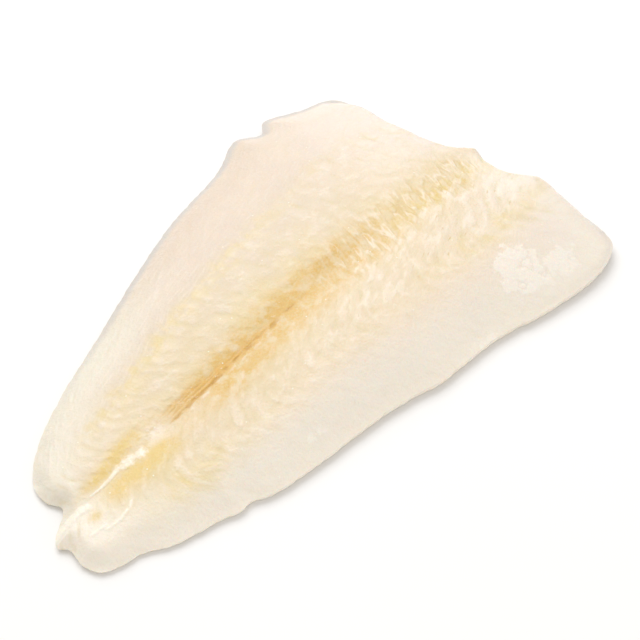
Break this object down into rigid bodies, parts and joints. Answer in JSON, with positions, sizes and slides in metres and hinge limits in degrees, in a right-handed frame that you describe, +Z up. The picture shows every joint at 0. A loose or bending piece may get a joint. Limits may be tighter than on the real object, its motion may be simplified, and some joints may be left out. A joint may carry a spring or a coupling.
{
  "type": "frozen halibut fillet",
  "caption": "Frozen skinless halibut fillet: a flat, tapering side of white fish with a browned seam along its middle, chevron flakes and a rounded, ice-glazed rim, lying skin side down.",
  "frame": {"origin": "on the floor under the middle of the fillet's bounding box", "axes": "+X along the seam from the tail end to the head cut, +Y to the left half as seen from the tail, +Z up out of the flesh side"},
  "size_m": [0.32, 0.2088, 0.0204],
  "materials": {
    "flesh": "satin"
  },
  "bodies": {
    "root": {"fillet": "flesh"}
  },
  "joints": []
}
